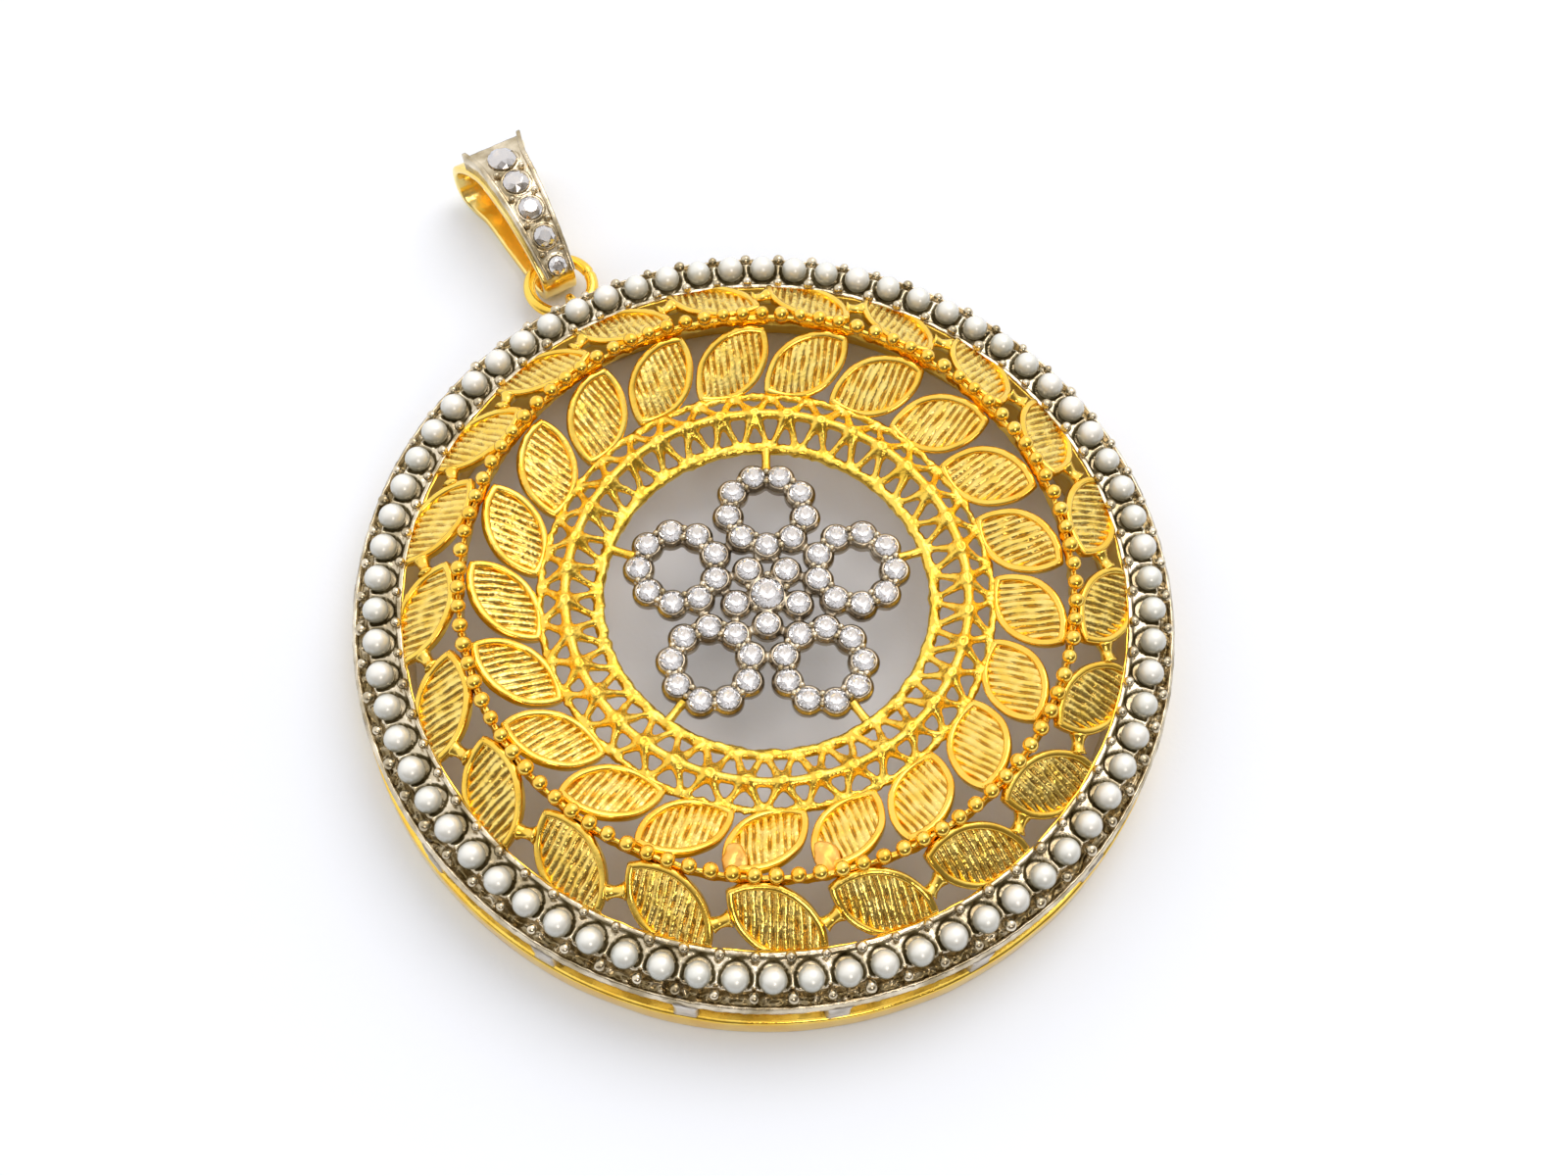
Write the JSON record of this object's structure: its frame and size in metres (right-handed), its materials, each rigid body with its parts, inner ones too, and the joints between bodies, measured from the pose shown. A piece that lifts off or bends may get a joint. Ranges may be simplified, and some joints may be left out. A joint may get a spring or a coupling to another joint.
{
  "type": "openwork medallion pendant",
  "caption": "Round openwork pendant with a seed-pearl rim, rows of engraved leaves, a wire lattice and a stone-set blossom, hung by a jump ring and a tapered stone-set bail.",
  "frame": {"origin": "centre of the round disc, on the plane of its flat back", "axes": "+Z out of the decorated front, +Y from the disc's centre to the bail, +X to the right seen from the front"},
  "size_m": [0.0408, 0.0521, 0.0069],
  "materials": {
    "gold_polished": "polished yellow gold plate",
    "gold_engraved": "engraved yellow gold plate",
    "white_metal": "darkened rhodium plate",
    "pearl": "pearl lustre",
    "clear_stone": "cut and polished"
  },
  "bodies": {
    "medallion": {"rim_base_ring": "gold_polished", "rim_outer_band": "gold_polished", "gallery_posts": "white_metal", "rim_inner_wall": "gold_polished", "pearl_channel": "white_metal", "seed_pearls": "pearl", "pearl_grains": "white_metal", "outer_leaf_frames": "gold_polished", "outer_leaf_blades": "gold_engraved", "outer_leaf_pins": "gold_polished", "bead_rail": "gold_polished", "bead_row": "gold_polished", "inner_leaf_frames": "gold_polished", "inner_leaf_blades": "gold_engraved", "lattice_outer_wire": "gold_polished", "lattice_outer_zigzag": "gold_polished", "lattice_middle_wire": "gold_polished", "lattice_inner_zigzag": "gold_polished", "lattice_inner_wire": "gold_polished", "motif_struts": "gold_polished", "motif_plate": "white_metal", "motif_claws": "white_metal", "motif_stones": "clear_stone", "hanging_eye": "gold_polished"},
    "jump_ring": {"jump_ring": "gold_polished"},
    "bail": {"bail_loop": "gold_polished", "bail_face": "white_metal", "bail_grains": "white_metal", "bail_stones": "clear_stone"}
  },
  "joints": [
    {"name": "jump_ring_swing", "type": "hinge", "parent": "medallion", "child": "jump_ring", "pos_m": [0, 0.02101, 0.0013], "axis": [1, 0, 0], "range_deg": [-70, 45]},
    {"name": "bail_swing", "type": "hinge", "parent": "jump_ring", "child": "bail", "pos_m": [0, 0.02445, 0.0013], "axis": [1, 0, 0], "range_deg": [-60, 25]}
  ]
}
